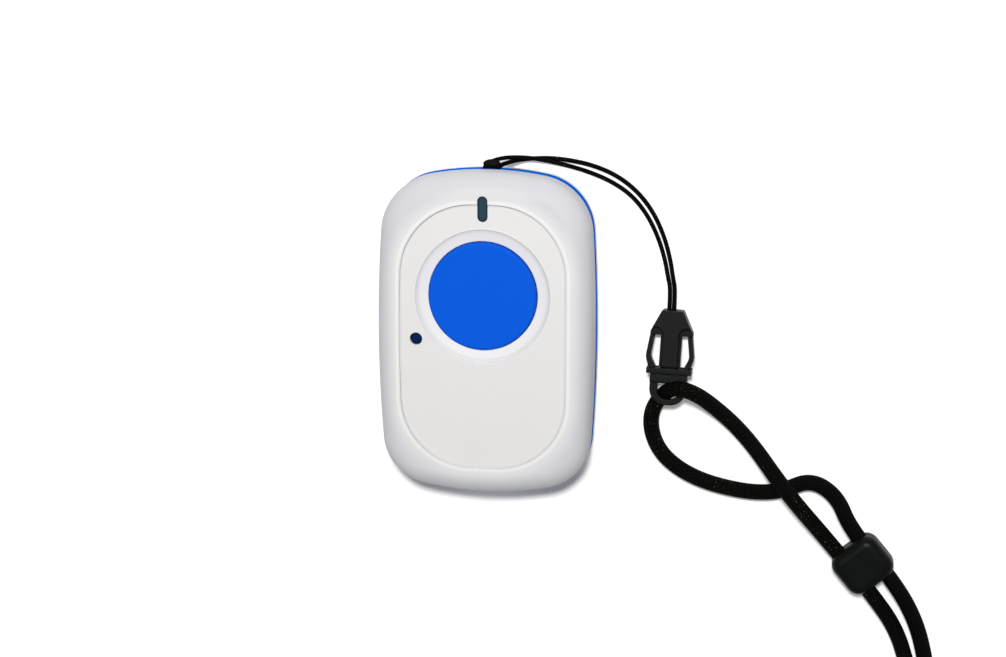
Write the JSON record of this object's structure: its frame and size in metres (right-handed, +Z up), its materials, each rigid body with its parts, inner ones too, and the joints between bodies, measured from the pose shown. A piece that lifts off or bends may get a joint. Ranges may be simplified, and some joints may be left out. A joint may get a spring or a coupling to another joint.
{
  "type": "medical alert pendant",
  "caption": "Wearable help-call pendant: flat rounded case with a large round press button, small indicator window and sunk reset pin, on a strap, release buckle and neck cord.",
  "frame": {"origin": "centre of the case's flat back, which lies on the table", "axes": "+Z up out of the button's face, +Y along the case towards the strap slot, +X to the right as seen from the front"},
  "size_m": [0.1161, 0.1518, 0.0147],
  "materials": {
    "front_cover": "glossy rim, satin panel",
    "middle_frame": "glossy",
    "back_cover": "glossy",
    "strap_bar": "satin",
    "case_screws": "satin",
    "board_screws": "satin",
    "help_button": "matte",
    "help_switch": "matte",
    "help_switch_plunger": "matte",
    "indicator_lens": "smooth, smoked",
    "indicator_lamp": "glossy",
    "reset_button": "matte",
    "reset_switch": "matte",
    "reset_switch_plunger": "matte",
    "circuit_board": "solder mask",
    "controller_chip": "matte",
    "radio_module": "satin can",
    "crystal": "satin can",
    "aerial": "plated wire",
    "coin_cell": "satin",
    "upper_contact": "satin",
    "lower_contact": "satin",
    "strap_cord": "thin braid",
    "strap_knot": "thin braid",
    "buckle_head": "satin",
    "buckle_arm_left": "satin",
    "buckle_arm_right": "satin",
    "buckle_socket": "satin",
    "neck_cord": "round braid",
    "cord_bead": "satin",
    "neck_cord_coil": "round braid"
  },
  "bodies": {
    "pendant": {"front_cover": "front_cover", "middle_frame": "middle_frame", "back_cover": "back_cover", "strap_bar": "strap_bar", "case_screws": "case_screws", "board_screws": "board_screws", "help_switch": "help_switch", "indicator_lens": "indicator_lens", "indicator_lamp": "indicator_lamp", "reset_switch": "reset_switch", "circuit_board": "circuit_board", "controller_chip": "controller_chip", "radio_module": "radio_module", "crystal": "crystal", "aerial": "aerial", "coin_cell": "coin_cell", "upper_contact": "upper_contact", "lower_contact": "lower_contact", "strap_cord": "strap_cord", "strap_knot": "strap_knot", "buckle_head": "buckle_head", "buckle_socket": "buckle_socket", "neck_cord": "neck_cord", "cord_bead": "cord_bead", "neck_cord_coil": "neck_cord_coil"},
    "help_button": {"help_button": "help_button"},
    "help_switch_plunger": {"help_switch_plunger": "help_switch_plunger"},
    "reset_button": {"reset_button": "reset_button"},
    "reset_switch_plunger": {"reset_switch_plunger": "reset_switch_plunger"},
    "buckle_arm_left": {"buckle_arm_left": "buckle_arm_left"},
    "buckle_arm_right": {"buckle_arm_right": "buckle_arm_right"}
  },
  "joints": [
    {"name": "help_button_press", "type": "slide", "parent": "pendant", "child": "help_button", "axis": [0, 0, 1], "range_m": [-0.0005, 0], "stiffness_N_per_m": 1000, "springref_m": 0.002},
    {"name": "help_switch_plunger_press", "type": "slide", "parent": "pendant", "child": "help_switch_plunger", "axis": [0, 0, 1], "range_m": [-0.0005, 0]},
    {"name": "reset_button_press", "type": "slide", "parent": "pendant", "child": "reset_button", "axis": [0, 0, 1], "range_m": [-0.0003, 0], "stiffness_N_per_m": 500, "springref_m": 0.001},
    {"name": "reset_switch_plunger_press", "type": "slide", "parent": "pendant", "child": "reset_switch_plunger", "axis": [0, 0, 1], "range_m": [-0.0003, 0]},
    {"name": "buckle_arm_left_squeeze", "type": "hinge", "parent": "pendant", "child": "buckle_arm_left", "pos_m": [0.0335, -0.00066, 0.0027], "axis": [0.0049, 0.1131, 0.9936], "range_deg": [0, 6.5], "stiffness_Nm_per_rad": 0.2},
    {"name": "buckle_arm_right_squeeze", "type": "hinge", "parent": "pendant", "child": "buckle_arm_right", "pos_m": [0.04109, -0.001, 0.0027], "axis": [0.0049, 0.1131, 0.9936], "range_deg": [-6.5, 0], "stiffness_Nm_per_rad": 0.2}
  ],
  "couplings": [
    {"joint": "help_switch_plunger_press", "follows": "help_button_press", "ratio": 1},
    {"joint": "reset_switch_plunger_press", "follows": "reset_button_press", "ratio": 1}
  ]
}
